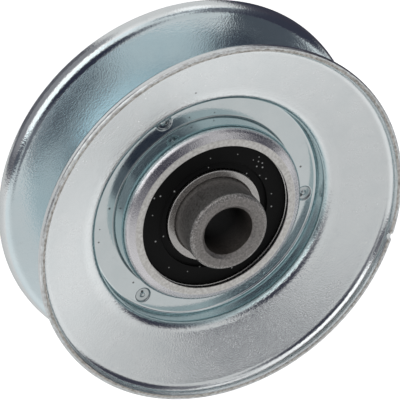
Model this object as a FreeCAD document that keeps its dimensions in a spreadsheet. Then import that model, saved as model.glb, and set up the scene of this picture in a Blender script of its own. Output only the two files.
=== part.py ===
import FreeCAD, Part
import Sketcher
import math
import os

# Belt idler pulley: two pressed sheet-steel halves, joined back to back at a
# flat web, trap a sealed ball bearing between their necks.  A turned spacer
# sleeve is pressed through the bearing and takes the mounting bolt.
# Millimetres.  Z is the axis of rotation, the origin lies on the axis in the
# middle plane of the belt groove, and +Z points to the front half.

doc = FreeCAD.newDocument("idler_pulley")
V = FreeCAD.Vector

# ---------------------------------------------------------------- sizes
thk = 1.0                     # sheet thickness
rim_r = 37.3                  # outside radius of the rolled rim
rim_top = 10.5                # rim edge above the middle plane
step_r = 23.7                 # inner face of the step wall
step_top = 4.8                # height where step wall and cone meet, sharp
brg_r = 34.925 / 2
brg_half = 11.1125 / 2

# the cone steepens a little outwards: slopes from the plane of rotation up to
# the break radius and on to the rim
slope = [math.radians(a) for a in (16.0, 18.5)]
break_r = 31.0
break_z = step_top + (break_r - step_r) * math.tan(slope[0])
mid = 0.5 * (slope[0] + slope[1])
away = thk / math.cos(0.5 * (slope[0] - slope[1]))

sizes = {
    # sheet halves
    "sheet_thickness": thk,
    "rim_radius": rim_r,
    "rim_inner_radius": rim_r - thk,
    "rim_height": rim_top,
    "lip_hole_radius": 15.03,
    "lip_flat_radius": 16.44,
    "neck_wall_radius": brg_r + thk,
    "neck_foot_radius": brg_r + thk + 0.15,
    "neck_seat_radius": brg_r,
    "neck_top": 6.4,
    "neck_shoulder": 5.234,
    "neck_seat_top": brg_half,
    "step_inner_radius": step_r,
    "groove_bottom_radius": step_r + thk,
    "groove_wall_start": step_top + thk * math.tan(slope[0]) - thk / math.cos(slope[0]),
    "cone_break_radius": break_r,
    "cone_break_height": break_z,
    "groove_break_radius": break_r + away * math.sin(mid),
    "groove_break_height": break_z - away * math.cos(mid),
    "cone_end_front": break_z + (rim_r - thk - break_r) * math.tan(slope[1]),
    "cone_end_groove": break_z + (rim_r - break_r) * math.tan(slope[1]) - thk / math.cos(slope[1]),
    "step_wall_top": 3.823,
    "step_knee_radius": 24.3855,
    "step_knee_height": 4.9966,
    "worn_edge_radius": 37.1,
    "worn_edge_height": 10.26,
    "bend_shoulder_out": 2.0,
    "bend_shoulder_in": 0.8,
    "bend_neck_front": 0.4,
    "bend_neck_back": 1.4,
    "bend_web_front": 0.7,
    "bend_web_back": 1.7,
    "bend_step_wall": 0.9,
    "bend_step_front": 2.7,
    "bend_step_groove": 1.5,
    "bend_rim_front": 1.9,
    "bend_rim_groove": 2.9,
    "rim_edge_inner": 0.1,
    "edge_break": 0.12,
    # pressed joining marks in the web
    "mark_circle_radius": 21.2,
    "mark_angle": 17.5,
    "mark_radius": 1.6,
    "mark_pip_radius": 0.5,
    "mark_depth": 0.3,
    "mark_soften": 0.12,
    # ball bearing
    "race_outer_radius": brg_r,
    "race_half_width": brg_half,
    "race_corner": 0.8,
    "seal_recess_radius": 14.92,
    "seal_groove_radius": 15.25,
    "seal_groove_top": 4.75,
    "seal_groove_low": 4.05,
    "outer_land_radius": 14.48,
    "outer_track_centre": 12.60,
    "track_radius": 3.10,
    "race_bore_radius": 7.9375,
    "race_bore_chamfer": 0.35,
    "inner_end_radius": 9.57,
    "inner_step_height": 3.85,
    "inner_land_radius": 10.91,
    "inner_track_centre": 12.80,
    "inner_edge_break": 0.2,
    "ball_radius": 5.953 / 2,
    "ball_circle_radius": 12.70,
    # ball cage
    "cage_inner_radius": 11.35,
    "cage_outer_radius": 14.05,
    "cage_sheet": 0.5,
    "pocket_radius": 3.08,
    "pocket_shell_radius": 3.58,
    "cage_height": 4.0,
    "rivet_radius": 0.55,
    "rivet_head_radius": 0.95,
    "rivet_head_height": 0.32,
    # rubber seals
    "seal_outer_radius": 15.22,
    "seal_face_radius": 14.86,
    "seal_bead_top": 4.70,
    "seal_bead_low": 4.10,
    "seal_face_height": 5.20,
    "seal_step_radius": 11.10,
    "seal_channel_radius": 10.35,
    "seal_channel_height": 4.62,
    "seal_lip_height": 4.85,
    "seal_lip_radius": 9.65,
    "seal_soften": 0.15,
    # spacer sleeve
    "sleeve_radius": 7.9375,
    "sleeve_bore_radius": 4.95,
    "sleeve_half_length": 12.4,
    "sleeve_edge_round": 0.9,
    "sleeve_bore_chamfer": 0.7,
}

sheet = doc.addObject("Spreadsheet::Sheet", "Sizes")
for row, (alias, value) in enumerate(sizes.items(), start=1):
    sheet.set("A%d" % row, alias)
    sheet.set("B%d" % row, "%.6f" % value)
    sheet.setAlias("B%d" % row, alias)
doc.recompute()


# -------------------------------------------------------------- helpers
def origin_item(body, role):
    for item in body.Origin.OriginFeatures:
        if item.Role == role:
            return item
    raise RuntimeError("no " + role)


def number(name):
    """Signed value of a size name such as 'rim_height' or '-rim_height'."""
    return -sizes[name[1:]] if name.startswith("-") else sizes[name]


def bind(sketch, index, name):
    plain = name[1:] if name.startswith("-") else name
    sketch.setExpression("Constraints[%d]" % index, "Sizes." + plain)


def place_point(sketch, geo, pos, x_name, y_name):
    """Fix a sketch point from the sketch origin with two named sizes."""
    for kind, name, axis in (("DistanceX", x_name, -2), ("DistanceY", y_name, -1)):
        if name is None:
            sketch.addConstraint(Sketcher.Constraint("PointOnObject", geo, pos, axis))
            continue
        value = number(name)
        if value > 0:
            c = Sketcher.Constraint(kind, -1, 1, geo, pos, value)
        else:
            c = Sketcher.Constraint(kind, geo, pos, -1, 1, -value)
        bind(sketch, sketch.addConstraint(c), name)


def section(body, name, points):
    """Closed section in the XZ plane; each point is a pair of size names."""
    sk = body.newObject("Sketcher::SketchObject", name)
    sk.AttachmentSupport = [(origin_item(body, "XZ_Plane"), "")]
    sk.MapMode = "FlatFace"
    xy = [V(number(px), 0.0 if py is None else number(py), 0) for px, py in points]
    count = len(xy)
    for i in range(count):
        sk.addGeometry(Part.LineSegment(xy[i], xy[(i + 1) % count]), False)
    for i in range(count):
        sk.addConstraint(Sketcher.Constraint("Coincident", i, 2, (i + 1) % count, 1))
    for i, (px, py) in enumerate(points):
        place_point(sk, i, 1, px, py)
    return sk


def turned(label, points):
    """Body turned about Z from a closed section."""
    body = doc.addObject("PartDesign::Body", label)
    body.Label = label
    sk = section(body, label + "_section", points)
    rev = body.newObject("PartDesign::Revolution", label + "_turning")
    rev.Profile = sk
    rev.ReferenceAxis = (sk, ["V_Axis"])
    rev.Angle = 360.0
    doc.recompute()
    return body


def track(body, name, centre):
    """Ball track: a ring groove of round section about Z."""
    before = body.Shape.Volume
    sk = body.newObject("Sketcher::SketchObject", name + "_section")
    sk.AttachmentSupport = [(origin_item(body, "XZ_Plane"), "")]
    sk.MapMode = "FlatFace"
    sk.addGeometry(Part.Circle(V(sizes[centre], 0, 0), V(0, 0, 1), sizes["track_radius"]), False)
    place_point(sk, 0, 3, centre, None)
    bind(sk, sk.addConstraint(Sketcher.Constraint("Radius", 0, sizes["track_radius"])), "track_radius")
    cut = body.newObject("PartDesign::Groove", name)
    cut.Profile = sk
    cut.ReferenceAxis = (sk, ["V_Axis"])
    cut.Angle = 360.0
    doc.recompute()
    if not body.Shape.Volume < before - 1.0:
        raise RuntimeError(name + " cut nothing")


def rings(shape, spots):
    """Names of the circular edges about Z at the given (radius, height)."""
    names = []
    for r, z in spots:
        found = [
            "Edge%d" % (i + 1)
            for i, e in enumerate(shape.Edges)
            if isinstance(e.Curve, Part.Circle)
            and abs(e.Curve.Radius - r) < 1e-4
            and abs(e.Curve.Center.z - z) < 1e-4
            and abs(e.Curve.Center.x) < 1e-6
            and abs(e.Curve.Center.y) < 1e-6
        ]
        if not found:
            raise RuntimeError("no edge at r=%.3f z=%.3f" % (r, z))
        names += found
    return names


def rounded(body, name, spots, radius, kind="PartDesign::Fillet"):
    base = body.Tip
    f = body.newObject(kind, name)
    f.Base = (base, rings(base.Shape, spots))
    key = "Radius" if kind.endswith("Fillet") else "Size"
    setattr(f, key, sizes[radius])
    f.setExpression(key, "Sizes." + radius)
    doc.recompute()
    return f


s = sizes

# ------------------------------------------------- pressed sheet halves
def half(label, sign):
    """One pressed half; sign +1 is the front one, -1 its mirror image."""
    p = "" if sign > 0 else "-"
    outline = [
        ("lip_hole_radius", p + "neck_top"),
        ("lip_flat_radius", p + "neck_top"),
        ("neck_wall_radius", p + "neck_shoulder"),
        ("neck_foot_radius", p + "sheet_thickness"),
        ("step_inner_radius", p + "sheet_thickness"),
        ("step_inner_radius", p + "step_wall_top"),
        ("step_knee_radius", p + "step_knee_height"),
        ("cone_break_radius", p + "cone_break_height"),
        ("rim_inner_radius", p + "cone_end_front"),
        ("rim_inner_radius", p + "rim_height"),
        ("worn_edge_radius", p + "rim_height"),
        ("rim_radius", p + "worn_edge_height"),
        ("rim_radius", p + "cone_end_groove"),
        ("groove_break_radius", p + "groove_break_height"),
        ("groove_bottom_radius", p + "groove_wall_start"),
        ("groove_bottom_radius", None),
        ("neck_seat_radius", None),
        ("neck_seat_radius", p + "neck_seat_top"),
        ("lip_hole_radius", p + "neck_seat_top"),
    ]
    body = turned(label, outline)
    bends = [
        ("bend_rim_groove", "rim_radius", "cone_end_groove"),
        ("bend_rim_front", "rim_inner_radius", "cone_end_front"),
        ("bend_step_wall", "step_inner_radius", "step_wall_top"),
        ("bend_step_front", "step_knee_radius", "step_knee_height"),
        ("bend_step_groove", "groove_bottom_radius", "groove_wall_start"),
        ("bend_web_front", "step_inner_radius", "sheet_thickness"),
        ("bend_web_back", "groove_bottom_radius", None),
        ("bend_neck_back", "neck_seat_radius", None),
        ("bend_neck_front", "neck_foot_radius", "sheet_thickness"),
        ("bend_shoulder_out", "neck_wall_radius", "neck_shoulder"),
        ("bend_shoulder_in", "neck_seat_radius", "neck_seat_top"),
    ]
    for radius, r, z in bends:
        rounded(body, label + "_" + radius, [(s[r], 0.0 if z is None else sign * s[z])], radius)
    rounded(body, label + "_rim_edge_inner",
            [(s["rim_inner_radius"], sign * s["rim_height"])], "rim_edge_inner")

    # three round joining marks pressed into the web, each with a small pip
    before = body.Shape.Volume
    ang = math.radians(s["mark_angle"])
    cx = s["mark_circle_radius"] * math.cos(ang)
    cy = s["mark_circle_radius"] * math.sin(ang)
    sk = body.newObject("Sketcher::SketchObject", label + "_mark_outline")
    sk.AttachmentSupport = [(origin_item(body, "XY_Plane"), "")]
    sk.MapMode = "FlatFace"
    sk.AttachmentOffset = FreeCAD.Placement(V(0, 0, sign * s["sheet_thickness"]), FreeCAD.Rotation())
    sk.setExpression("AttachmentOffset.Base.z", ("" if sign > 0 else "-") + "Sizes.sheet_thickness")
    for radius in ("mark_radius", "mark_pip_radius"):
        g = sk.addGeometry(Part.Circle(V(cx, cy, 0), V(0, 0, 1), s[radius]), False)
        bind(sk, sk.addConstraint(Sketcher.Constraint("Radius", g, s[radius])), radius)
        for kind, value, fn in (("DistanceX", cx, "cos"), ("DistanceY", cy, "sin")):
            i = sk.addConstraint(Sketcher.Constraint(kind, -1, 1, g, 3, value))
            sk.setExpression("Constraints[%d]" % i,
                             "Sizes.mark_circle_radius * %s(Sizes.mark_angle * 1 deg)" % fn)
    pocket = body.newObject("PartDesign::Pocket", label + "_mark")
    pocket.Profile = sk
    pocket.Type = 0
    pocket.Length = s["mark_depth"]
    pocket.setExpression("Length", "Sizes.mark_depth")
    pocket.Reversed = sign < 0
    doc.recompute()
    one = math.pi * (s["mark_radius"] ** 2 - s["mark_pip_radius"] ** 2) * s["mark_depth"]
    if abs(before - body.Shape.Volume - one) > 0.02 * one:
        raise RuntimeError(label + " joining mark did not cut as drawn")
    ring = body.newObject("PartDesign::PolarPattern", label + "_marks")
    ring.Originals = [pocket]
    ring.Axis = (origin_item(body, "Z_Axis"), [""])
    ring.Angle = 360.0
    ring.Occurrences = 3
    body.Tip = ring
    doc.recompute()
    if abs(before - body.Shape.Volume - 3 * one) > 0.06 * one:
        raise RuntimeError(label + " joining marks were not repeated")
    names = [
        "Edge%d" % (i + 1)
        for i, e in enumerate(ring.Shape.Edges)
        if isinstance(e.Curve, Part.Circle) and e.Curve.Radius < 2.0
        and math.hypot(e.Curve.Center.x, e.Curve.Center.y) > 10.0
    ]
    soft = body.newObject("PartDesign::Fillet", label + "_mark_soften")
    soft.Base = (ring, names)
    soft.Radius = s["mark_soften"]
    soft.setExpression("Radius", "Sizes.mark_soften")
    doc.recompute()
    return body


front_flange = half("front_flange", +1)
rear_flange = half("rear_flange", -1)

# ------------------------------------------------------- bearing rings
outer_ring = turned("bearing_outer_ring", [
    ("race_outer_radius", "race_half_width"),
    ("race_outer_radius", "-race_half_width"),
    ("seal_recess_radius", "-race_half_width"),
    ("seal_recess_radius", "-seal_groove_top"),
    ("seal_groove_radius", "-seal_groove_top"),
    ("seal_groove_radius", "-seal_groove_low"),
    ("outer_land_radius", "-seal_groove_low"),
    ("outer_land_radius", "seal_groove_low"),
    ("seal_groove_radius", "seal_groove_low"),
    ("seal_groove_radius", "seal_groove_top"),
    ("seal_recess_radius", "seal_groove_top"),
    ("seal_recess_radius", "race_half_width"),
])
track(outer_ring, "outer_ball_track", "outer_track_centre")
rounded(outer_ring, "outer_ring_corners",
        [(s["race_outer_radius"], s["race_half_width"]),
         (s["race_outer_radius"], -s["race_half_width"])], "race_corner")
rounded(outer_ring, "outer_ring_inner_edges",
        [(s["seal_recess_radius"], s["race_half_width"]),
         (s["seal_recess_radius"], -s["race_half_width"])], "edge_break")

inner_ring = turned("bearing_inner_ring", [
    ("race_bore_radius", "-race_half_width"),
    ("inner_end_radius", "-race_half_width"),
    ("inner_end_radius", "-inner_step_height"),
    ("inner_land_radius", "-inner_step_height"),
    ("inner_land_radius", "inner_step_height"),
    ("inner_end_radius", "inner_step_height"),
    ("inner_end_radius", "race_half_width"),
    ("race_bore_radius", "race_half_width"),
])
track(inner_ring, "inner_ball_track", "inner_track_centre")
rounded(inner_ring, "inner_ring_edges",
        [(s["inner_end_radius"], s["race_half_width"]),
         (s["inner_end_radius"], -s["race_half_width"])], "inner_edge_break")
rounded(inner_ring, "inner_ring_bore_chamfers",
        [(s["race_bore_radius"], s["race_half_width"]),
         (s["race_bore_radius"], -s["race_half_width"])], "race_bore_chamfer",
        "PartDesign::Chamfer")

# --------------------------------------------------------- rubber seals
def seal(label, sign):
    p = "" if sign > 0 else "-"
    body = turned(label, [
        ("seal_lip_radius", p + "seal_bead_low"),
        ("seal_lip_radius", p + "seal_lip_height"),
        ("seal_channel_radius", p + "seal_channel_height"),
        ("seal_step_radius", p + "seal_channel_height"),
        ("seal_step_radius", p + "seal_face_height"),
        ("seal_face_radius", p + "seal_face_height"),
        ("seal_face_radius", p + "seal_bead_top"),
        ("seal_outer_radius", p + "seal_bead_top"),
        ("seal_outer_radius", p + "seal_bead_low"),
    ])
    rounded(body, label + "_soft_edges",
            [(s["seal_step_radius"], sign * s["seal_face_height"]),
             (s["seal_face_radius"], sign * s["seal_face_height"])], "seal_soften")
    return body


front_seal = seal("front_seal", +1)
rear_seal = seal("rear_seal", -1)

# -------------------------------------------------------- spacer sleeve
sleeve = turned("spacer_sleeve", [
    ("sleeve_bore_radius", "-sleeve_half_length"),
    ("sleeve_radius", "-sleeve_half_length"),
    ("sleeve_radius", "sleeve_half_length"),
    ("sleeve_bore_radius", "sleeve_half_length"),
])
rounded(sleeve, "sleeve_end_rounds",
        [(s["sleeve_radius"], s["sleeve_half_length"]),
         (s["sleeve_radius"], -s["sleeve_half_length"])], "sleeve_edge_round")
rounded(sleeve, "sleeve_bore_chamfers",
        [(s["sleeve_bore_radius"], s["sleeve_half_length"]),
         (s["sleeve_bore_radius"], -s["sleeve_half_length"])], "sleeve_bore_chamfer",
        "PartDesign::Chamfer")

# ---------------------------------------------------- balls and cage
def solid(kind, name, **bound):
    o = doc.addObject(kind, name)
    for prop, expr in bound.items():
        o.setExpression(prop.replace("_at_", "."), expr)
    return o


def ring_spot(o, deg, height=None):
    o.setExpression("Placement.Base.x", "Sizes.ball_circle_radius * cos(%.4f deg)" % deg)
    o.setExpression("Placement.Base.y", "Sizes.ball_circle_radius * sin(%.4f deg)" % deg)
    if height:
        o.setExpression("Placement.Base.z", height)


ball_count = 8
balls = []
for k in range(ball_count):
    b = solid("Part::Sphere", "bearing_ball_%d" % (k + 1), Radius="Sizes.ball_radius")
    b.Label = "bearing_ball_%d" % (k + 1)
    ring_spot(b, 360.0 / ball_count * k)
    balls.append(b)

plate = solid("Part::Cylinder", "cage_plate", Radius="Sizes.cage_outer_radius", Height="Sizes.cage_sheet")
shells, pockets, holes = [], [], []
for k in range(ball_count):
    deg = 360.0 / ball_count * k
    o = solid("Part::Sphere", "cage_shell_%d" % (k + 1), Radius="Sizes.pocket_shell_radius")
    ring_spot(o, deg)
    shells.append(o)
    o = solid("Part::Sphere", "cage_pocket_%d" % (k + 1), Radius="Sizes.pocket_radius")
    ring_spot(o, deg)
    pockets.append(o)
    o = solid("Part::Cylinder", "cage_hole_%d" % (k + 1), Radius="Sizes.rivet_radius", Height="Sizes.cage_height")
    ring_spot(o, deg + 180.0 / ball_count, "-Sizes.cage_sheet")
    holes.append(o)
wave = doc.addObject("Part::MultiFuse", "cage_wave")
wave.Shapes = [plate] + shells
band_out = solid("Part::Cylinder", "cage_band_outside", Radius="Sizes.cage_outer_radius", Height="Sizes.cage_height")
band_in = solid("Part::Cylinder", "cage_band_inside", Radius="Sizes.cage_inner_radius", Height="Sizes.cage_height")
band = doc.addObject("Part::Cut", "cage_band")
band.Base, band.Tool = band_out, band_in
ribbon = doc.addObject("Part::Common", "cage_ribbon")
ribbon.Base, ribbon.Tool = wave, band
room = doc.addObject("Part::MultiFuse", "cage_openings")
room.Shapes = pockets + holes
cage_front = doc.addObject("Part::Cut", "cage_front")
cage_front.Label = "cage_front"
cage_front.Base, cage_front.Tool = ribbon, room
cage_rear = doc.addObject("Part::Mirroring", "cage_rear")
cage_rear.Label = "cage_rear"
cage_rear.Source = cage_front
cage_rear.Base = V(0, 0, 0)
cage_rear.Normal = V(0, 0, 1)

rivet_list = []
for k in range(ball_count):
    deg = 360.0 / ball_count * (k + 0.5)
    shank = solid("Part::Cylinder", "rivet_shank_%d" % (k + 1), Radius="Sizes.rivet_radius", Height="2 * Sizes.cage_sheet")
    ring_spot(shank, deg, "-Sizes.cage_sheet")
    top = solid("Part::Cone", "rivet_head_%d" % (k + 1), Radius1="Sizes.rivet_head_radius",
                Radius2="Sizes.rivet_radius", Height="Sizes.rivet_head_height")
    ring_spot(top, deg, "Sizes.cage_sheet")
    low = solid("Part::Cone", "rivet_tail_%d" % (k + 1), Radius1="Sizes.rivet_radius",
                Radius2="Sizes.rivet_head_radius", Height="Sizes.rivet_head_height")
    ring_spot(low, deg, "-Sizes.cage_sheet - Sizes.rivet_head_height")
    one = doc.addObject("Part::MultiFuse", "rivet_%d" % (k + 1))
    one.Shapes = [shank, top, low]
    rivet_list.append(one)
rivets = doc.addObject("Part::Compound", "cage_rivets")
rivets.Label = "cage_rivets"
rivets.Links = rivet_list

doc.recompute()

# ------------------------------------------------------- test and write
pieces = [front_flange, rear_flange, outer_ring, inner_ring, front_seal, rear_seal,
          sleeve, cage_front, cage_rear, rivets] + balls
for o in doc.Objects:
    bad = [w for w in o.State if w in ("Invalid", "Error")]
    if bad:
        raise RuntimeError("%s: %s" % (o.Name, o.State))
for o in pieces:
    want = ball_count if o is rivets else 1
    if o.Shape.isNull() or not o.Shape.isValid() or len(o.Shape.Solids) != want:
        raise RuntimeError("%s has a bad shape" % o.Label)

os.makedirs("parts", exist_ok=True)
for o in pieces:
    o.Shape.exportStep("parts/%s.step" % o.Label)
    box = o.Shape.BoundBox
    print("%-20s %10.2f mm3   z %.2f to %.2f   r %.2f" % (o.Label, o.Shape.Volume, box.ZMin, box.ZMax, box.XMax))
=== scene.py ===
import math

import bpy
import numpy as np
from mathutils import Matrix, Vector


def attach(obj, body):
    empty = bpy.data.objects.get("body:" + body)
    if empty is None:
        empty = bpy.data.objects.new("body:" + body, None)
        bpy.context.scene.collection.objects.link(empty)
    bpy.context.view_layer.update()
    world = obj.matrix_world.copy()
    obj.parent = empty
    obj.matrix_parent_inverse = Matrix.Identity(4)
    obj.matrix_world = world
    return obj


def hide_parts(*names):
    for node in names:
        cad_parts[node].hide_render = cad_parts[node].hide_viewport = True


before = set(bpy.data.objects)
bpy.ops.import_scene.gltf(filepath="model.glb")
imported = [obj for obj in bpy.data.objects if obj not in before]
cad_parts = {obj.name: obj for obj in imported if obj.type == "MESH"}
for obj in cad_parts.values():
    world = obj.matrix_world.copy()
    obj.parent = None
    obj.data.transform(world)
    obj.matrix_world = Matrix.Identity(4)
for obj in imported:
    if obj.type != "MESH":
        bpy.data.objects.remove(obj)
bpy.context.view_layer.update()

MM = 0.001
scene = bpy.context.scene

# ------------------------------------------------------------------ sizes, mm
THK = 1.0
RIM_R, RIM_TOP = 37.3, 10.5
RIM_BEND, RIM_IN = 1.9, 0.12
RIM_CORNER_R, RIM_CORNER_Z = 37.1, 10.26
STEP_R, STEP_TOP, STEP_BEND = 23.7, 4.8, 2.5
# the bend at the top of the step is tighter at the wall: two corners (radius, height, bend)
STEP_KNEE = ((23.7, 3.823, 0.98), (24.3855, 4.9966, 2.78))
# the cone steepens a little outwards: (radius, slope from there on, bend radius)
CONE = ((STEP_R, 16.0, 0.0), (31.0, 18.5, 120.0))
NECK_DRAFT = 0.15
# lip over the bearing: hole, flat top, and the bevel down to the neck's wall
LIP_HOLE, LIP_FLAT, LIP_TOP, LIP_CORNER, LIP_BEND = 15.03, 16.44, 6.4, 5.234, 2.0
BRG_R, BRG_HALF = 34.925 / 2, 11.1125 / 2
MARK_R, MARK_DEG = 21.2, (17.5, 137.5, 257.5)
FLOOR_Z = -12.4
# small specks of dirt on the web and of dust on the seal, (x, y, z)
WEB_DIRT = [(17.6, -12.3, 1.0), (19.4, -10.2, 1.0), (13.6, -14.4, 1.0), (-8.8, -17.7, 1.0), (19.9, 2.5, 1.0),
            (-12.9, -14.6, 1.0), (-12.5, -24.6, 5.92), (-18.5, 8.9, 1.0), (6.4, -19.6, 1.0), (-4.4, 20.2, 1.0)]
SEAL_DUST = [(-5.2, -8.8, 4.66), (-12.95, -2.3, 5.2), (-12.8, -0.6, 5.2), (-11.4, 0.4, 5.2), (-13.3, -1.4, 5.2), (-12.4, -3.4, 5.2),
             (-9.8, -1.7, 4.76), (2.5, -10.0, 4.64), (-10.8, 5.6, 5.2), (-9.2, 7.9, 5.2), (10.85, 5.95, 5.2), (8.5, 7.1, 5.1),
             (5.0, -11.8, 5.2), (8.5, -9.7, 5.2), (9.7, -3.8, 4.62), (-6.6, -10.5, 5.2), (-11.9, 2.0, 5.2), (11.4, -4.6, 5.2),
             (-13.6, -3.0, 5.2), (-12.1, -1.7, 5.2), (-10.9, -6.9, 5.2), (4.2, 12.6, 5.2), (6.1, -12.4, 5.2), (12.9, 2.2, 5.2)]


# ------------------------------------------------------------- mesh builders
def outline(corners, arc_deg=6.0, reach=0.9, near=0.03):
    """Closed outline (r, z) from corners (r, z, bend radius), with its straight
    runs divided so that no run is longer than reach."""
    pts = [np.array(c[:2], float) for c in corners]
    n = len(pts)
    out = []
    for i, c in enumerate(corners):
        p, a, b = pts[i], pts[i - 1], pts[(i + 1) % n]
        rad = c[2] if len(c) > 2 else 0.0
        if rad <= 0:
            out.append([p])
            continue
        u, w = (a - p) / np.linalg.norm(a - p), (b - p) / np.linalg.norm(b - p)
        half = 0.5 * math.acos(max(-1.0, min(1.0, float(u @ w))))
        mid = (u + w) / np.linalg.norm(u + w)
        centre = p + mid * rad / math.sin(half)
        t0, t1 = p + u * rad / math.tan(half), p + w * rad / math.tan(half)
        a0, a1 = math.atan2(*(t0 - centre)[::-1]), math.atan2(*(t1 - centre)[::-1])
        turn = (a1 - a0 + math.pi) % (2 * math.pi) - math.pi
        k = max(4, int(abs(math.degrees(turn)) / arc_deg + 0.5))
        out.append([centre + rad * np.array([math.cos(a0 + turn * j / k), math.sin(a0 + turn * j / k)])
                    for j in range(k + 1)])
    line = []
    for i in range(n):
        line += out[i]
        p, q = out[i][-1], out[(i + 1) % n][0]
        length = float(np.linalg.norm(q - p))
        if length < 1e-6:
            continue
        d = (q - p) / length
        step = reach(0.5 * (p + q), d) if callable(reach) else reach
        stops = [near, length - near] if length > 4 * near else []
        k = int(length / step)
        stops += [length * j / k for j in range(1, k)] if k > 1 else []
        line += [p + d * s for s in sorted(stops)]
    keep = [line[0]]
    for p in line[1:]:
        if np.linalg.norm(p - keep[-1]) > 1e-5:
            keep.append(p)
    if np.linalg.norm(keep[0] - keep[-1]) < 1e-5:
        keep.pop()
    return np.array(keep)


def even_angles(count, fine=()):
    """Angles round the axis, with closer ones about each (middle, reach, step)."""
    a = [2 * math.pi * i / count for i in range(count)]
    for mid, span, step in fine:
        lo, hi = math.radians(mid - span), math.radians(mid + span)
        a = [x for x in a if not any(lo < x + s < hi for s in (-2 * math.pi, 0, 2 * math.pi))]
        k = int(round(2 * span / step))
        a += [(lo + (hi - lo) * j / k) % (2 * math.pi) for j in range(k + 1)]
    a = sorted(a)
    return np.array([x for i, x in enumerate(a) if i == 0 or x - a[i - 1] > 1e-4])


def turned_mesh(name, line, angles, shape=None):
    """Closed ring mesh: the outline swept round Z.  shape may move the points."""
    m, n = len(line), len(angles)
    r, z = np.repeat(line[:, 0][None], n, 0), np.repeat(line[:, 1][None], n, 0)
    a = np.repeat(angles[:, None], m, 1)
    p = np.stack([r * np.cos(a), r * np.sin(a), z], -1)
    if shape is not None:
        p = shape(p, r, a, z)
    area = 0.5 * float(np.sum(line[:, 0] * np.roll(line[:, 1], -1) - np.roll(line[:, 0], -1) * line[:, 1]))
    faces = []
    for i in range(n):
        j = (i + 1) % n
        for k in range(m):
            l = (k + 1) % m
            q = (i * m + k, j * m + k, j * m + l, i * m + l)
            faces.append(q if area > 0 else q[::-1])
    me = bpy.data.meshes.new(name)
    me.from_pydata((p.reshape(-1, 3) * MM).tolist(), [], faces)
    me.polygons.foreach_set("use_smooth", [True] * len(me.polygons))
    me.update()
    ob = bpy.data.objects.new(name, me)
    scene.collection.objects.link(ob)
    return ob


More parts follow.
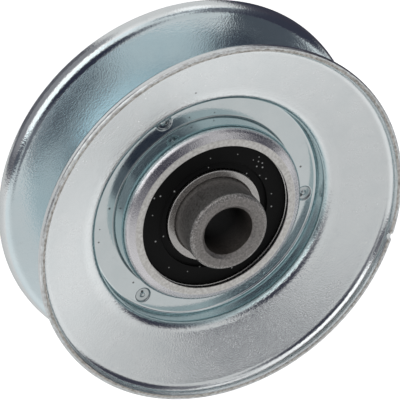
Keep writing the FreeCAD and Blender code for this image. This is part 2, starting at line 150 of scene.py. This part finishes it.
# ------------------------------------------------------------ material kit
class Nodes:
    """Small helper for a material's node tree."""

    def __init__(self, name):
        self.mat = bpy.data.materials.new(name)
        self.mat.use_nodes = True
        self.t = self.mat.node_tree
        self.t.nodes.clear()
        self.out = self.t.nodes.new("ShaderNodeOutputMaterial")
        self.bsdf = self.t.nodes.new("ShaderNodeBsdfPrincipled")
        self.t.links.new(self.bsdf.outputs[0], self.out.inputs[0])
        self.co = self.t.nodes.new("ShaderNodeTexCoord").outputs["Object"]

    def put(self, socket, value):
        if isinstance(value, bpy.types.NodeSocket):
            self.t.links.new(value, socket)
        elif isinstance(value, (tuple, list)) and len(value) == 3 and socket.type == "RGBA":
            socket.default_value = (*value, 1.0)
        else:
            socket.default_value = value

    def math(self, op, a, b=0.0, c=0.0, clamp=False):
        n = self.t.nodes.new("ShaderNodeMath")
        n.operation, n.use_clamp = op, clamp
        for s, v in zip(n.inputs, (a, b, c)):
            self.put(s, v)
        return n.outputs[0]

    def vec(self, op, a, b=(0, 0, 0)):
        n = self.t.nodes.new("ShaderNodeVectorMath")
        n.operation = op
        self.put(n.inputs[0], a)
        if op == "SCALE":
            self.put(n.inputs["Scale"], b)
        else:
            self.put(n.inputs[1], b)
        return n.outputs["Value" if op in ("LENGTH", "DOT_PRODUCT", "DISTANCE") else 0]

    def split(self, v):
        n = self.t.nodes.new("ShaderNodeSeparateXYZ")
        self.put(n.inputs[0], v)
        return n.outputs[0], n.outputs[1], n.outputs[2]

    def join(self, x, y, z):
        n = self.t.nodes.new("ShaderNodeCombineXYZ")
        for s, v in zip(n.inputs, (x, y, z)):
            self.put(s, v)
        return n.outputs[0]

    def noise(self, scale, vector=None, detail=2.0, rough=0.5, distort=0.0):
        n = self.t.nodes.new("ShaderNodeTexNoise")
        self.put(n.inputs["Vector"], self.co if vector is None else vector)
        n.inputs["Scale"].default_value = scale
        n.inputs["Detail"].default_value = detail
        n.inputs["Roughness"].default_value = rough
        n.inputs["Distortion"].default_value = distort
        return n.outputs["Fac" if "Fac" in n.outputs else 0]

    def cells(self, scale, vector=None, feature="F1", random=1.0):
        n = self.t.nodes.new("ShaderNodeTexVoronoi")
        n.feature = feature
        self.put(n.inputs["Vector"], self.co if vector is None else vector)
        n.inputs["Scale"].default_value = scale
        n.inputs["Randomness"].default_value = random
        return n

    def fit(self, v, a, b, c=0.0, d=1.0, smooth=False):
        n = self.t.nodes.new("ShaderNodeMapRange")
        n.clamp = True
        n.interpolation_type = "SMOOTHSTEP" if smooth else "LINEAR"
        for s, x in zip(n.inputs, (v, a, b, c, d)):
            self.put(s, x)
        return n.outputs[0]

    def mix(self, f, a, b, blend="MIX"):
        n = self.t.nodes.new("ShaderNodeMix")
        n.data_type, n.blend_type = "RGBA", blend
        self.put(n.inputs[0], f)
        self.put(n.inputs[6], a)
        self.put(n.inputs[7], b)
        return n.outputs[2]

    def bump(self, height, strength, distance, base=None):
        n = self.t.nodes.new("ShaderNodeBump")
        n.inputs["Strength"].default_value = strength
        n.inputs["Distance"].default_value = distance
        self.put(n.inputs["Height"], height)
        if base is not None:
            self.put(n.inputs["Normal"], base)
        return n.outputs[0]

    def polar(self):
        """Radius, angle and height of the point about the axis, in metres."""
        x, y, z = self.split(self.co)
        r = self.math("SQRT", self.math("ADD", self.math("MULTIPLY", x, x), self.math("MULTIPLY", y, y)))
        return r, self.math("ARCTAN2", y, x), z

    def done(self, **sockets):
        names = {"color": "Base Color", "metal": "Metallic", "rough": "Roughness", "normal": "Normal",
                 "spec": "Specular IOR Level", "ior": "IOR", "aniso": "Anisotropic", "coat": "Coat Weight",
                 "coat_rough": "Coat Roughness", "sheen": "Sheen Weight", "tangent": "Tangent"}
        for k, v in sockets.items():
            self.put(self.bsdf.inputs[names[k]], v)
        return self.mat


def spots(m, places, size, soft=0.4):
    """Small round spots at (x, y, z) places in mm, each 1 inside and 0 outside."""
    total = None
    for i, c in enumerate(places):
        k = size * (0.75 + 0.5 * ((i * 7) % 5) / 4.0) * MM
        d = m.vec("DISTANCE", m.co, tuple(v * MM for v in c))
        f = m.fit(d, k * (1.0 - soft), k, 1.0, 0.0)
        total = f if total is None else m.math("MAXIMUM", total, f)
    return total


def zinc_plating():
    m = Nodes("zinc_plating")
    r, ang, z = m.polar()
    r = m.math("MULTIPLY", r, 1000.0)
    h = m.math("MULTIPLY", m.math("ABSOLUTE", z), 1000.0)
    cloud = m.noise(240.0, detail=3.0)
    grain = m.noise(2900.0, detail=2.0, rough=0.6)
    blot = m.noise(900.0, detail=2.0)
    tint = m.mix(m.fit(cloud, 0.35, 0.65), (0.785, 0.822, 0.832), (0.82, 0.85, 0.858))
    # painted shade: the belt groove and the valley by the neck are painted darker and bluer
    over = m.math("ADD", m.math("MULTIPLY", m.math("SUBTRACT", r, STEP_R), 0.306), STEP_TOP - 0.52)
    groove = m.math("MULTIPLY", m.fit(m.math("SUBTRACT", over, h), -0.12, 0.12), m.fit(r, 24.4, 24.6))
    valley_shade = m.math("MULTIPLY", m.fit(r, 24.7, 24.2), m.math("MULTIPLY", m.fit(h, 5.6, 4.4), m.fit(h, 1.1, 1.4, 0.25, 1.0)))
    tint = m.mix(valley_shade, tint, m.mix(m.fit(cloud, 0.3, 0.7), (0.50, 0.625, 0.65), (0.55, 0.67, 0.69)))
    # painted shade: a dark line in the crease where the neck meets the web
    corner_shade = m.math("MULTIPLY", m.math("MULTIPLY", m.fit(r, 18.45, 18.55), m.fit(r, 19.0, 18.85)), m.fit(h, 1.6, 1.3))
    tint = m.mix(m.math("MULTIPLY", corner_shade, 0.7), tint, (0.20, 0.24, 0.25))
    # painted shade: darker, bluer colour over the groove side of the cones
    tint = m.mix(groove, tint, m.mix(m.fit(cloud, 0.3, 0.7), (0.695, 0.80, 0.835), (0.73, 0.82, 0.85)))
    tint = m.mix(m.fit(blot, 0.62, 0.80, 0.0, 0.22), tint, (0.56, 0.60, 0.62))
    # torn inner half of the cut edge along the rim
    edge = m.math("MULTIPLY", m.fit(h, RIM_TOP - 0.12, RIM_TOP - 0.05), m.fit(m.math("ADD", r, m.fit(blot, 0.3, 0.7, -0.12, 0.12)), 36.86, 36.72))
    raw = m.mix(m.fit(m.noise(1800.0, detail=2.0), 0.35, 0.65), (0.34, 0.325, 0.30), (0.66, 0.64, 0.61))
    tint = m.mix(edge, tint, raw)
    # its outer half and corner, darker and greyer
    rim_corner_grey = m.math("MULTIPLY", m.fit(h, RIM_CORNER_Z - 0.12, RIM_CORNER_Z), m.fit(r, 36.8, 36.9))
    tint = m.mix(m.math("MULTIPLY", rim_corner_grey, m.fit(m.noise(1300.0, detail=3.0), 0.35, 0.7, 0.0, 1.0)), tint, (0.52, 0.515, 0.505))
    # pressed marks: greyer floor, with painted shade as a darker rim on the sloped wall and a dark pit
    for deg in MARK_DEG:
        c = math.radians(deg)
        mid = (MARK_R * math.cos(c) * MM, MARK_R * math.sin(c) * MM)
        for side in (THK, -THK):
            d = m.math("MULTIPLY", m.vec("DISTANCE", m.co, (*mid, side * MM)), 1000.0)
            rim = m.math("MULTIPLY", m.fit(d, 1.25, 1.42), m.fit(d, 1.66, 1.55))
            tint = m.mix(m.math("MULTIPLY", m.fit(d, 1.62, 1.50), 0.45), tint, (0.40, 0.43, 0.44))
            tint = m.mix(m.math("MULTIPLY", rim, 0.65), tint, (0.16, 0.18, 0.19))
    # painted shade in the pit beside each mark
    pits = [((MARK_R * math.cos(math.radians(d)) + 0.62 * math.cos(math.radians(d) - 2.4)),
             (MARK_R * math.sin(math.radians(d)) + 0.62 * math.sin(math.radians(d) - 2.4)), e) for d in MARK_DEG for e in (0.6, -0.6)]
    tint = m.mix(m.math("MULTIPLY", spots(m, pits, 0.42), 0.9), tint, (0.06, 0.06, 0.065))
    dirt = spots(m, WEB_DIRT, 0.22)
    tint = m.mix(m.math("MULTIPLY", dirt, 0.85), tint, (0.10, 0.095, 0.09))
    # dull sandy flat round the hole of the lip, grainy bevel beside it
    lip = m.math("MULTIPLY", m.fit(r, 18.35, 18.0), m.fit(h, 5.0, 5.4))
    flat = m.math("MULTIPLY", m.fit(r, 16.6, 16.4), m.fit(h, 6.2, 6.3))
    sand = m.mix(m.fit(m.noise(1900.0, detail=3.0), 0.35, 0.65), (0.58, 0.565, 0.54), (0.76, 0.75, 0.725))
    tint = m.mix(lip, tint, m.mix(m.fit(cloud, 0.3, 0.7), (0.66, 0.65, 0.675), (0.73, 0.72, 0.74)))
    tint = m.mix(flat, tint, sand)
    # satin and grainy on the cones and bends, smoother where the sheet was ironed: rims, web and neck
    ironed = m.math("MAXIMUM", m.fit(r, 34.3, 35.3, 0.0, 0.6), m.math("MULTIPLY", m.fit(r, 24.0, 23.3), m.math("SUBTRACT", 1.0, lip)))
    face = m.math("MULTIPLY", m.math("SUBTRACT", 1.0, groove), m.math("MULTIPLY", m.fit(r, 26.0, 27.2), m.fit(r, 35.6, 34.6)))
    rough = m.math("ADD", m.fit(grain, 0.3, 0.7, 0.13, 0.20), m.fit(cloud, 0.3, 0.7, -0.015, 0.02))
    rough = m.math("SUBTRACT", rough, m.math("MULTIPLY", ironed, 0.05))
    bent = m.math("MULTIPLY", m.math("SUBTRACT", 1.0, groove), m.math("MULTIPLY", m.fit(r, 23.9, 24.2), m.fit(r, 26.6, 25.6)))
    rough = m.math("SUBTRACT", rough, m.math("MULTIPLY", groove, m.fit(r, 31.0, 34.0, 0.04, 0.08)))
    rough = m.math("SUBTRACT", rough, m.math("MULTIPLY", bent, 0.05))
    rough = m.math("ADD", rough, m.math("MULTIPLY", lip, 0.09))
    rough = m.math("ADD", rough, m.math("MULTIPLY", flat, 0.18))
    rough = m.math("ADD", rough, m.math("MULTIPLY", face, 0.07))
    rough = m.math("MAXIMUM", rough, m.math("MAXIMUM", m.math("MULTIPLY", edge, 0.36), m.math("MULTIPLY", rim_corner_grey, 0.28)))
    swell = m.math("SUBTRACT", m.fit(ironed, 0.0, 1.0, 1.0, 0.2), m.math("MULTIPLY", groove, m.fit(r, 35.0, 34.4, 0.0, 0.35)))
    swell = m.math("SUBTRACT", swell, m.math("MULTIPLY", m.math("MAXIMUM", face, m.math("MULTIPLY", lip, 1.6)), 0.3))
    n1 = m.bump(m.noise(140.0, detail=1.0), 0.22, 0.00012)
    n2 = m.bump(m.math("MULTIPLY", grain, swell), 1.0, 0.000055, n1)
    return m.done(color=tint, metal=m.fit(face, 0.0, 1.0, 1.0, 0.84), rough=rough, normal=n2)


def ring_steel():
    m = Nodes("ring_steel")
    r, ang, z = m.polar()
    grain = m.noise(2600.0, detail=3.0, rough=0.65)
    turn = m.noise(1.0, m.join(m.math("MULTIPLY", r, 5000.0), m.math("MULTIPLY", ang, 3.0), m.math("MULTIPLY", z, 5000.0)), detail=1.0)
    inner = m.mix(m.fit(grain, 0.3, 0.7), (0.44, 0.425, 0.41), (0.56, 0.545, 0.53))
    outer = m.mix(m.fit(grain, 0.3, 0.7), (0.58, 0.57, 0.55), (0.74, 0.73, 0.71))
    tint = m.mix(m.fit(r, 0.0125, 0.0130), inner, outer)
    rough = m.fit(grain, 0.3, 0.7, 0.20, 0.30)
    n1 = m.bump(grain, 0.5, 0.00002)
    n2 = m.bump(turn, 0.3, 0.00001, n1)
    return m.done(color=tint, metal=1.0, rough=rough, normal=n2)


def sleeve_steel():
    m = Nodes("sleeve_steel")
    r, ang, z = m.polar()
    grain = m.noise(2200.0, detail=3.0, rough=0.7)
    fleck = m.noise(3800.0, detail=1.0)
    turn = m.noise(1.0, m.join(m.math("MULTIPLY", r, 4200.0), m.math("MULTIPLY", ang, 2.0), m.math("MULTIPLY", z, 4200.0)), detail=2.0)
    tint = m.mix(m.fit(grain, 0.3, 0.7), (0.155, 0.146, 0.140), (0.375, 0.355, 0.342))
    tint = m.mix(m.fit(turn, 0.45, 0.75, 0.0, 0.4), tint, (0.21, 0.20, 0.19))
    # rubbed, flecked rounding at both ends
    h = m.math("MULTIPLY", m.math("ABSOLUTE", z), 1000.0)
    round_off = m.math("MULTIPLY", m.fit(h, 11.3, 11.8), m.fit(r, 0.00700, 0.00735))
    tint = m.mix(m.math("MULTIPLY", round_off, m.fit(fleck, 0.47, 0.66)), tint, (0.52, 0.505, 0.49))
    # its turned side is a little lighter than its ends
    side = m.math("MULTIPLY", m.fit(r, 0.0077, 0.0079), m.fit(h, 11.6, 11.2))
    tint = m.mix(m.math("MULTIPLY", side, 0.8), tint, m.mix(m.fit(grain, 0.3, 0.7), (0.200, 0.190, 0.182), (0.440, 0.418, 0.402)))
    # dull brown bore, with painted shade making it darker with depth
    bore = m.math("MULTIPLY", m.fit(r, 0.00535, 0.00505), m.fit(h, 11.9, 11.5))
    wall = m.mix(m.fit(grain, 0.3, 0.7), (0.120, 0.106, 0.097), (0.250, 0.222, 0.205))
    tint = m.mix(bore, tint, m.mix(m.fit(h, 5.0, 10.5), (0.020, 0.020, 0.021), wall))
    rough = m.fit(grain, 0.3, 0.7, 0.42, 0.58)
    n1 = m.bump(turn, 0.5, 0.00002)
    n2 = m.bump(grain, 0.4, 0.00002, n1)
    return m.done(color=tint, metal=0.9, rough=rough, normal=n2)


def seal_rubber():
    m = Nodes("seal_rubber")
    grain = m.noise(2400.0, detail=3.0, rough=0.6)
    tint = m.mix(m.fit(grain, 0.3, 0.7), (0.0014, 0.0015, 0.0015), (0.0030, 0.0031, 0.0031))
    dust = spots(m, SEAL_DUST, 0.17, 0.6)
    tint = m.mix(m.math("MULTIPLY", dust, 0.95), tint, (0.58, 0.59, 0.58))
    rough = m.fit(grain, 0.3, 0.7, 0.5, 0.62)
    return m.done(color=tint, metal=0.0, rough=rough, spec=0.14, normal=m.bump(grain, 0.4, 0.00003))


def plain_steel(name, low, high, rough_low, rough_high):
    m = Nodes(name)
    grain = m.noise(2000.0, detail=2.0)
    return m.done(color=m.mix(m.fit(grain, 0.3, 0.7), low, high), metal=1.0,
                  rough=m.fit(grain, 0.3, 0.7, rough_low, rough_high), normal=m.bump(grain, 0.2, 0.00001))


# --------------------------------------------------------------- the pieces
def mark_depth(p, r, a, z, sign):
    """Presses the three joining marks into the web, each with a small pip."""
    on_web = (np.abs(z - sign * THK) < 1e-4) & (r > 19.0) & (r < 23.6)
    dz = np.zeros_like(z)
    for deg in MARK_DEG:
        c = math.radians(deg)
        dx, dy = p[..., 0] - MARK_R * math.cos(c), p[..., 1] - MARK_R * math.sin(c)
        d = np.hypot(dx, dy)
        wall = np.clip((1.62 - d) / 0.26, 0, 1)
        floor = 0.30 * wall * wall * (3 - 2 * wall)
        pip = np.clip((0.56 - d) / 0.26, 0, 1)
        floor = floor - 0.26 * pip * pip * (3 - 2 * pip)
        pit = np.clip((0.34 - np.hypot(dx - 0.62 * math.cos(c - 2.4), dy - 0.62 * math.sin(c - 2.4))) / 0.22, 0, 1)
        floor = floor + 0.14 * pit
        dz += floor
    q = p.copy()
    q[..., 2] -= sign * np.where(on_web, dz, 0.0)
    return q


def sheet_half(name, sign):
    s = float(sign)
    over, under, z = [], [], STEP_TOP
    for (r0, deg0, _), (r, deg, bend) in zip(CONE, CONE[1:]):
        was, now = math.radians(deg0), math.radians(deg)
        mid, k = 0.5 * (was + now), THK / math.cos(0.5 * (was - now))
        z += (r - r0) * math.tan(was)
        over.append((r, s * z, bend))
        under.insert(0, (r + k * math.sin(mid), s * (z - k * math.cos(mid)), bend + math.copysign(THK, now - was)))
    first, last = math.radians(CONE[0][1]), math.radians(CONE[-1][1])
    cone_front = z + (RIM_R - THK - CONE[-1][0]) * math.tan(last)
    cone_back = z + (RIM_R - CONE[-1][0]) * math.tan(last) - THK / math.cos(last)
    back_step = STEP_TOP + THK * math.tan(first) - THK / math.cos(first)
    neck = BRG_R + THK
    corners = [
        (LIP_HOLE, s * BRG_HALF, 0.05), (LIP_HOLE, s * LIP_TOP, 0.12), (LIP_FLAT, s * LIP_TOP, 0.35),
        (neck, s * LIP_CORNER, LIP_BEND), (neck + NECK_DRAFT, s * THK, 0.4),
        (STEP_R, s * THK, 0.7), *((q, s * z0, bend) for q, z0, bend in STEP_KNEE), *over,
        (RIM_R - THK, s * cone_front, RIM_BEND), (RIM_R - THK, s * RIM_TOP, RIM_IN),
        (RIM_CORNER_R, s * RIM_TOP, 0.08), (RIM_R, s * RIM_CORNER_Z, 0.05), (RIM_R, s * cone_back, RIM_BEND + THK), *under,
        (STEP_R + THK, s * back_step, STEP_BEND - THK), (STEP_R + THK, 0.0, 1.7),
        (BRG_R, 0.0, 1.4), (BRG_R, s * BRG_HALF, 0.8),
    ]

    def reach(mid, d):
        web = abs(mid[1] - s * THK) < 0.01 and 19.0 < mid[0] < 24.0
        return 0.12 if web else 1.1

    line = outline(corners, 6.0, reach)
    fine = [(d, 5.2, 0.32) for d in MARK_DEG] + [(127.6, 2.2, 0.3)]
    angles = even_angles(200, fine)

    def shape(p, r, a, z):
        q = mark_depth(p, r, a, z, s)
        if sign > 0:
            # nick in the edge of the front rim
            off = (a - math.radians(127.6)) * RIM_R
            f = np.exp(-(off / 0.55) ** 4) * np.clip((z - 9.5) / 1.0, 0, 1)
            q[..., 2] -= 0.34 * f * (1.0 + 0.35 * np.sin(3.1 * off))
            pull = 1.0 - 0.008 * f
            q[..., 0] *= pull
            q[..., 1] *= pull
        return q

    ob = turned_mesh(name, line, angles, shape)
    return ob


ZINC, RING, SLEEVE, RUBBER = zinc_plating(), ring_steel(), sleeve_steel(), seal_rubber()
CAGE = plain_steel("cage_strip", (0.42, 0.42, 0.40), (0.55, 0.55, 0.53), 0.30, 0.42)
BALL = plain_steel("ball_polish", (0.62, 0.62, 0.62), (0.70, 0.70, 0.70), 0.06, 0.10)


def finish_piece(ob, mat, body, node):
    ob.data.materials.append(mat)
    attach(ob, body)
    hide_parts(node)


front = sheet_half("front_sheet_half", 1)
finish_piece(front, ZINC, "pulley", "front_flange")
rear = sheet_half("rear_sheet_half", -1)
finish_piece(rear, ZINC, "pulley", "rear_flange")

ROUND = even_angles(240)
H = BRG_HALF
outer = turned_mesh("outer_ring_turned", outline([
    (BRG_R, H, 0.8), (BRG_R, -H, 0.8), (14.92, -H, 0.12), (14.92, -4.75), (15.25, -4.75), (15.25, -4.05),
    (14.48, -4.05), (14.48, -2.4726), (15.0, -1.9596), (15.45, -1.2062), (15.66, -0.5), (15.70, 0.0),
    (15.66, 0.5), (15.45, 1.2062), (15.0, 1.9596), (14.48, 2.4726), (14.48, 4.05), (15.25, 4.05), (15.25, 4.75), (14.92, 4.75), (14.92, H, 0.12)]), ROUND)
finish_piece(outer, RING, "pulley", "bearing_outer_ring")

inner = turned_mesh("inner_ring_turned", outline([
    (7.9375, -H + 0.35), (8.2875, -H), (9.57, -H, 0.2), (9.57, -3.85), (10.91, -3.85), (10.91, -2.4596),
    (10.4, -1.9596), (9.95, -1.2062), (9.74, -0.5), (9.70, 0.0), (9.74, 0.5), (9.95, 1.2062), (10.4, 1.9596),
    (10.91, 2.4596), (10.91, 3.85), (9.57, 3.85), (9.57, H, 0.2), (8.2875, H), (7.9375, H - 0.35)]), ROUND)
finish_piece(inner, RING, "spindle", "bearing_inner_ring")


def seal_piece(name, s):
    return turned_mesh(name, outline([
        (9.65, s * 4.10), (9.65, s * 4.85, 0.08), (10.35, s * 4.62, 0.1), (11.10, s * 4.62, 0.12), (11.10, s * 5.20, 0.15),
        (14.86, s * 5.20, 0.15), (14.86, s * 4.70), (15.22, s * 4.70), (15.22, s * 4.10)], 8.0), ROUND)


finish_piece(seal_piece("front_seal_moulded", 1.0), RUBBER, "pulley", "front_seal")
finish_piece(seal_piece("rear_seal_moulded", -1.0), RUBBER, "pulley", "rear_seal")

sleeve = turned_mesh("sleeve_turned", outline([
    (4.95, -11.7, 0.12), (5.65, -12.4, 0.12), (7.9375, -12.4, 0.9), (7.9375, 12.4, 0.9), (5.65, 12.4, 0.12), (4.95, 11.7, 0.12)]), ROUND)
finish_piece(sleeve, SLEEVE, "spindle", "spacer_sleeve")

for name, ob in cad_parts.items():
    mat = CAGE if name.startswith("cage") else BALL if "ball" in name else None
    if mat is not None:
        ob.data.materials.clear()
        ob.data.materials.append(mat)

# ----------------------------------------------------------------- the camera
TILT, TURN = math.radians(38.537), math.radians(47.899)
right = Vector((-math.sin(TURN), math.cos(TILT) * math.cos(TURN), math.sin(TILT) * math.cos(TURN)))
up = -Vector((math.cos(TURN), math.cos(TILT) * math.sin(TURN), math.sin(TILT) * math.sin(TURN)))
back = Vector((0.0, -math.sin(TILT), math.cos(TILT)))
focal, depth, off_x, off_y = 3000.0, 563.65, 14.435, 15.765
place = Vector((0, 0, BRG_HALF)) + back * depth - right * (off_x * depth / focal) + up * (off_y * depth / focal)
cam = bpy.data.objects.new("camera", bpy.data.cameras.new("camera"))
scene.collection.objects.link(cam)
turn = Matrix((right, up, back)).transposed().to_4x4()
turn.translation = place * MM
cam.matrix_world = turn
cam.data.sensor_width, cam.data.lens = 36.0, focal / 400.0 * 36.0
cam.data.clip_start, cam.data.clip_end = 0.01, 20.0
scene.camera = cam

# ------------------------------------------------------------ floor and light
def stage_sheet(name, verts, faces, glow):
    """A white studio surface, seen by the camera but not mirrored in the metal."""
    me = bpy.data.meshes.new(name)
    me.from_pydata(verts, [], faces)
    ob = bpy.data.objects.new(name, me)
    scene.collection.objects.link(ob)
    m = Nodes(name)
    me.materials.append(m.done(color=m.mix(m.noise(40.0), (0.90, 0.90, 0.90), (0.93, 0.93, 0.93)), rough=0.9, spec=0.0))
    m.bsdf.inputs["Emission Color"].default_value = (1.0, 1.0, 1.0, 1.0)
    m.bsdf.inputs["Emission Strength"].default_value = glow
    ob.visible_glossy = False
    return ob


half, low = 3.0, FLOOR_Z * MM
stage_sheet("pale_floor", [(-half, -half, low), (half, -half, low), (half, half, low), (-half, half, low)], [(0, 1, 2, 3)], 0.80)
wall = [(2.9 * math.cos(2 * math.pi * i / 48), 2.9 * math.sin(2 * math.pi * i / 48)) for i in range(48)]
drop = stage_sheet("backdrop", [(x, y, low - 0.2) for x, y in wall] + [(x, y, 3.0) for x, y in wall],
                   [(i, (i + 1) % 48, 48 + (i + 1) % 48, 48 + i) for i in range(48)], 1.1)
drop.visible_diffuse = drop.visible_shadow = drop.visible_transmission = False


def dark_card(name, r0, r1, deg0, deg1, z):
    """A black card beside the rim, only there for the metal to mirror."""
    arc = [math.radians(deg0 + (deg1 - deg0) * i / 12.0) for i in range(13)]
    verts = [(q * math.cos(a) * MM, q * math.sin(a) * MM, z * MM) for q in (r0, r1) for a in arc]
    card = stage_sheet(name, verts, [(i, i + 1, 14 + i, 13 + i) for i in range(12)], 0.0)
    card.data.materials.clear()
    m = Nodes(name + "_black")
    card.data.materials.append(m.done(color=m.mix(m.noise(40.0), (0.07, 0.075, 0.09), (0.08, 0.09, 0.105)), rough=0.9, spec=0.0))
    card.visible_glossy = True
    card.visible_camera = card.visible_diffuse = card.visible_shadow = card.visible_transmission = False


dark_card("dark_card_rear", 41.5, 62.0, 156.0, 200.0, 20.0)

world = bpy.data.worlds.new("studio")
scene.world = world
world.use_nodes = True
wt = world.node_tree
wt.nodes.clear()


class Sky(Nodes):
    def __init__(self, tree):
        self.t = tree
        self.co = tree.nodes.new("ShaderNodeTexCoord").outputs["Generated"]


k = Sky(wt)
dx, dy, dz = k.split(k.vec("NORMALIZE", k.co))
az = k.math("MULTIPLY", k.math("ARCTAN2", dx, k.math("MULTIPLY", dy, -1.0)), 180.0 / math.pi)
el = k.math("MULTIPLY", k.math("ARCSINE", dz), 180.0 / math.pi)


def panel(base, az0, az1, el0, el1, value, soft=4.0):
    """Softly lays a panel of light or dark over the studio's walls, in degrees."""
    h = 0.5 * soft
    f = None
    for v, lo, hi in ((az, az0, az1), (el, el0, el1)):
        for a, b in ((lo - h, lo + h), (hi + h, hi - h)):
            if abs(a) > 180.0 or (v is el and abs(a) > 88.0):
                continue
            g = k.fit(v, a, b, 0.0, 1.0, True)
            f = g if f is None else k.math("MULTIPLY", f, g)
    c = value if isinstance(value, tuple) else (value, value, value)
    return k.mix(f, base, c)


def dim(v):
    return (v, v, 1.0 * v + 0.02)


ramp = wt.nodes.new("ShaderNodeValToRGB")
wt.links.new(k.fit(el, -90.0, 90.0), ramp.inputs[0])
stops = [(-90, 0.55), (-45, 0.60), (-10, 0.70), (0, 0.78), (12, 0.82), (25, 0.80), (38, 0.68), (52, 0.61), (70, 0.66), (90, 0.60)]
while len(ramp.color_ramp.elements) < len(stops):
    ramp.color_ramp.elements.new(0.5)
for e, (deg, v) in zip(ramp.color_ramp.elements, stops):
    e.position, e.color = (deg + 90.0) / 180.0, (v, v, v, 1.0)
sky = ramp.outputs[0]
sky = panel(sky, -200, -120, -90, -20, dim(0.06), 8)
sky = panel(sky, -88, -14, -90, -8, 0.68, 8)
sky = panel(sky, -128, -92, -60, 44, dim(0.045), 7)
sky = panel(sky, -96, -84, -42, 44, dim(0.07), 5)
sky = panel(sky, -166, -118, 63, 84, dim(0.08), 12)
sky = panel(sky, -174, -146, 24, 42, 0.92, 10)
sky = panel(sky, -178, -160, 4, 22, 0.70, 8)
sky = panel(sky, 160, 178, 4, 22, 0.90, 8)
sky = panel(sky, 44, 66, -40, 42, dim(0.11), 7)
sky = panel(sky, -56, 84, 47, 88, dim(0.16), 14)
sky = panel(sky, -36, 40, 46, 88, dim(0.035), 12)
sky = panel(sky, -14, 62, -90, -57.0, 0.74, 4)
sky = panel(sky, -14, 54, -56.0, -46, dim(0.035), 4)
sky = panel(sky, -14, 54, -46, -24, dim(0.12), 5)
sky = panel(sky, -20, 54, -24, 12, dim(0.26), 6)
sky = panel(sky, -34, -12, 10, 42, 0.95, 5)
sky = panel(sky, -84, -69, 12, 42, dim(0.16), 5)
sky = panel(sky, -69, -44, 19, 29, dim(0.30), 5)
sky = panel(sky, -69, -55, -10, 13, 1.10, 5)
sky = panel(sky, -14, 44, 13, 43, 1.30, 4)
bg = wt.nodes.new("ShaderNodeBackground")
wt.links.new(sky, bg.inputs[0])
bg.inputs[1].default_value = 1.0
wo = wt.nodes.new("ShaderNodeOutputWorld")
wt.links.new(bg.outputs[0], wo.inputs[0])

scene.view_settings.view_transform = "Standard"
scene.view_settings.look = "None"
scene.view_settings.exposure = 0.0
scene.view_settings.gamma = 1.0
